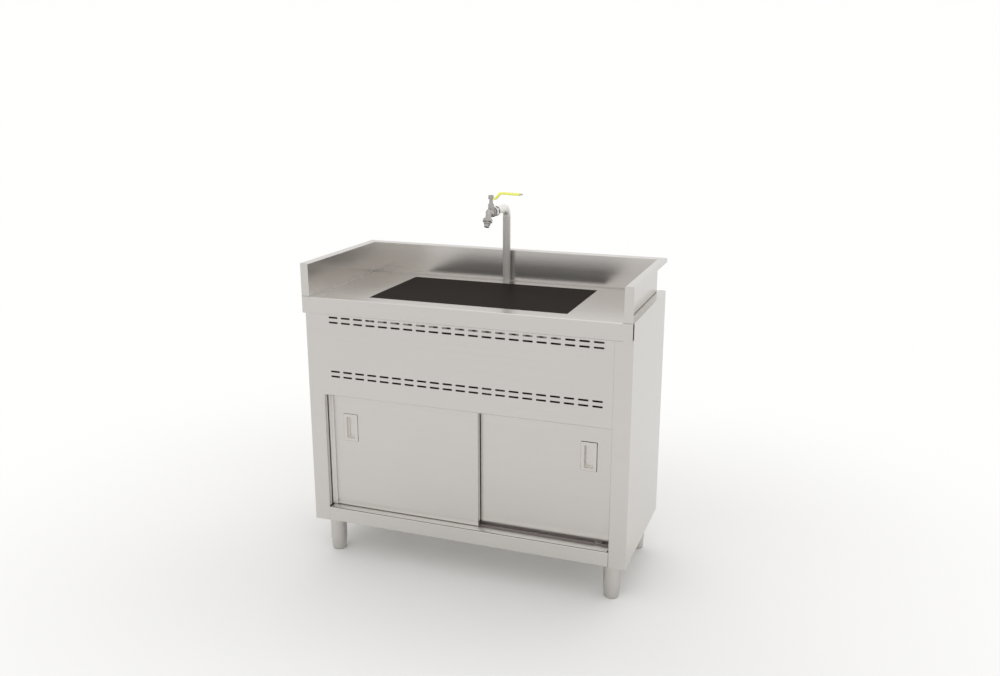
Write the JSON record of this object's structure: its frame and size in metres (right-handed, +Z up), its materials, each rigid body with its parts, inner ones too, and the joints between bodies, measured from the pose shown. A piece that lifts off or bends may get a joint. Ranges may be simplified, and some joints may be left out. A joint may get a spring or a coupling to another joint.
{
  "type": "laboratory sink unit",
  "caption": "Stainless base cupboard with upstand worktop, flush-covered sink, lever bib tap, vented front, sliding doors and adjustable legs.",
  "frame": {"origin": "on the floor, in the middle of the footprint", "axes": "+Z up, +Y from the doors towards the back, +X to the right of someone facing the doors"},
  "size_m": [1, 0.455, 1.1395],
  "materials": {
    "steel_satin": "fine satin brushed stainless steel",
    "steel_polished": "smooth pressed stainless steel",
    "steel_pipe": "drawn stainless pipe",
    "steel_leg": "turned and drawn stainless steel",
    "track_aluminium": "extruded, natural",
    "zinc_hardware": "bright zinc plate",
    "tap_nickel": "satin nickel plated brass",
    "cover_black": "black-brown resin board, satin",
    "rubber_black": "black rubber",
    "plastic_white": "white moulded plastic",
    "nylon": "natural nylon",
    "grip_yellow": "dipped lemon-yellow vinyl"
  },
  "bodies": {
    "cabinet": {"worktop": "steel_satin", "worktop_stiffeners": "steel_satin", "bowl_skirt": "steel_polished", "cover_pads": "rubber_black", "sink_bowl": "steel_polished", "waste_fitting": "steel_polished", "waste_strainer": "steel_polished", "waste_gasket": "rubber_black", "waste_backnut": "plastic_white", "trap_body": "plastic_white", "trap_cup": "plastic_white", "trap_nuts": "plastic_white", "waste_pipe": "plastic_white", "side_panel_right": "steel_satin", "side_panel_left": "steel_satin", "back_panel": "steel_satin", "base_pan": "steel_satin", "vent_panel": "steel_satin", "door_track_lower": "track_aluminium", "door_track_upper": "track_aluminium", "door_jambs": "steel_satin", "door_bumpers": "rubber_black", "base_gussets": "steel_satin", "leg_front_left": "steel_leg", "leg_rear_left": "steel_leg", "leg_front_right": "steel_leg", "leg_rear_right": "steel_leg", "leg_inserts": "zinc_hardware", "tap_riser": "steel_pipe", "tap_fixings": "zinc_hardware", "tap_coupling_nut": "tap_nickel", "tap_body": "tap_nickel", "tap_gland": "tap_nickel", "tap_union_nut": "tap_nickel", "tap_nozzle": "tap_nickel", "supply_pipe": "steel_pipe", "supply_coupling": "zinc_hardware"},
    "sink_cover": {"sink_cover": "cover_black"},
    "door_left": {"door_left_skin": "steel_satin", "door_left_liner": "steel_satin", "door_left_handle": "steel_polished", "door_left_roller_brackets": "zinc_hardware", "door_left_guides": "nylon"},
    "door_right": {"door_right_skin": "steel_satin", "door_right_liner": "steel_satin", "door_right_handle": "steel_polished", "door_right_roller_brackets": "zinc_hardware", "door_right_guides": "nylon"},
    "tap_lever": {"tap_ball": "tap_nickel", "tap_lever": "tap_nickel", "tap_grip": "grip_yellow", "tap_lever_nut": "tap_nickel"},
    "roller_left_outer": {"door_left_roller_outer": "nylon"},
    "roller_left_inner": {"door_left_roller_inner": "nylon"},
    "roller_right_outer": {"door_right_roller_outer": "nylon"},
    "roller_right_inner": {"door_right_roller_inner": "nylon"},
    "foot_front_left": {"foot_front_left": "steel_leg"},
    "foot_rear_left": {"foot_rear_left": "steel_leg"},
    "foot_front_right": {"foot_front_right": "steel_leg"},
    "foot_rear_right": {"foot_rear_right": "steel_leg"}
  },
  "joints": [
    {"name": "door_left_slide", "type": "slide", "parent": "cabinet", "child": "door_left", "axis": [1, 0, 0], "range_m": [0, 0.4246]},
    {"name": "door_right_slide", "type": "slide", "parent": "cabinet", "child": "door_right", "axis": [-1, 0, 0], "range_m": [0, 0.4246]},
    {"name": "tap_lever_turn", "type": "hinge", "parent": "cabinet", "child": "tap_lever", "pos_m": [0, 0.0425, 1.0775], "axis": [0, 0, -1], "range_deg": [0, 90]},
    {"name": "sink_cover_lift", "type": "slide", "parent": "cabinet", "child": "sink_cover", "axis": [0, 0, 1], "range_m": [0, 0.15]},
    {"name": "roller_left_outer_spin", "type": "hinge", "parent": "door_left", "child": "roller_left_outer", "pos_m": [-0.4059, -0.1745, 0.1655], "axis": [0, 1, 0], "continuous": true},
    {"name": "roller_left_inner_spin", "type": "hinge", "parent": "door_left", "child": "roller_left_inner", "pos_m": [-0.0187, -0.1745, 0.1655], "axis": [0, 1, 0], "continuous": true},
    {"name": "roller_right_outer_spin", "type": "hinge", "parent": "door_right", "child": "roller_right_outer", "pos_m": [0.4059, -0.1535, 0.1655], "axis": [0, -1, 0], "continuous": true},
    {"name": "roller_right_inner_spin", "type": "hinge", "parent": "door_right", "child": "roller_right_inner", "pos_m": [0.0187, -0.1535, 0.1655], "axis": [0, -1, 0], "continuous": true},
    {"name": "foot_front_left_screw", "type": "slide", "parent": "cabinet", "child": "foot_front_left", "axis": [0, 0, -1], "range_m": [0, 0.025]},
    {"name": "foot_rear_left_screw", "type": "slide", "parent": "cabinet", "child": "foot_rear_left", "axis": [0, 0, -1], "range_m": [0, 0.025]},
    {"name": "foot_front_right_screw", "type": "slide", "parent": "cabinet", "child": "foot_front_right", "axis": [0, 0, -1], "range_m": [0, 0.025]},
    {"name": "foot_rear_right_screw", "type": "slide", "parent": "cabinet", "child": "foot_rear_right", "axis": [0, 0, -1], "range_m": [0, 0.025]}
  ],
  "couplings": [
    {"joint": "roller_left_outer_spin", "follows": "door_left_slide", "rad_per_m": 90.909},
    {"joint": "roller_left_inner_spin", "follows": "door_left_slide", "rad_per_m": 90.909},
    {"joint": "roller_right_outer_spin", "follows": "door_right_slide", "rad_per_m": 90.909},
    {"joint": "roller_right_inner_spin", "follows": "door_right_slide", "rad_per_m": 90.909}
  ]
}
